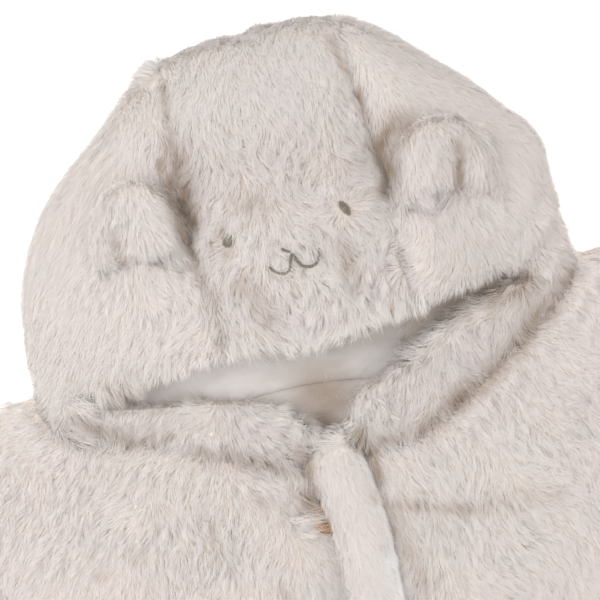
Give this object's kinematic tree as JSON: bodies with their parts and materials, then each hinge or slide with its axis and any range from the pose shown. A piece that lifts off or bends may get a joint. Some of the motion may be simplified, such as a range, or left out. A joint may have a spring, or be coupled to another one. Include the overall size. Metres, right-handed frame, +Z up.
{
  "type": "hooded baby poncho",
  "caption": "Faux fur baby poncho with an eared hood and a buttoned front, laid flat on its back.",
  "frame": {"origin": "centre of the underside of the garment's bounding box, on the surface it lies on", "axes": "+X across the shoulders, +Y from the hem towards the top of the hood, +Z up out of the front"},
  "size_m": [0.76, 0.543, 0.0706],
  "materials": {
    "fur": "long soft pile, cream",
    "lining": "short white plush",
    "binding": "smooth white tape",
    "thread": "satin stitch, taupe",
    "button": "polished amber brown"
  },
  "bodies": {
    "root": {"back": "fur", "front_left": "fur", "front_right": "fur", "placket": "fur", "hood_centre": "fur", "hood_side_left": "fur", "hood_side_right": "fur", "hood_back": "fur", "ear_left": "fur", "ear_right": "fur", "hood_lining": "lining", "neck_lining": "lining", "placket_edge": "binding", "button_top": "button", "button_middle": "button", "button_low": "button"}
  },
  "joints": []
}
